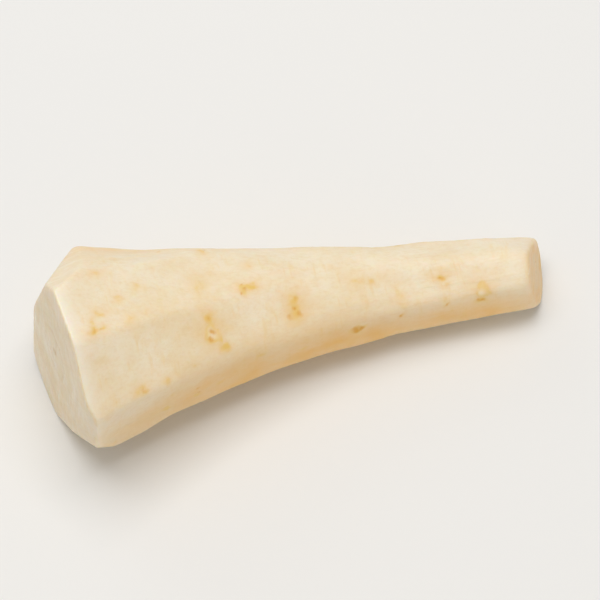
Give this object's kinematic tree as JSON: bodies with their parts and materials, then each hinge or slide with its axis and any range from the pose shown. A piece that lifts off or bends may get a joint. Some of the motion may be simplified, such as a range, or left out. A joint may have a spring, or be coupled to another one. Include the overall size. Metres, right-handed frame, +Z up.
{
  "type": "parsley root",
  "caption": "Peeled parsley root with a tapering, knife-faceted flank and flat cuts across its crown and its tail, lying on its side.",
  "frame": {"origin": "centre of the bottom of the bounding box, on the surface that the root rests on", "axes": "+X runs along the root from the crown to the tail, +Y to its back, +Z up from the surface"},
  "size_m": [0.1409, 0.0551, 0.0579],
  "materials": {
    "root_flesh": "raw peeled root flesh: cream, slightly moist, with fine lengthwise fibre, ochre scars of side roots and pale growth rings on the cut ends"
  },
  "bodies": {
    "root": {"parsley_root": "root_flesh"}
  },
  "joints": []
}
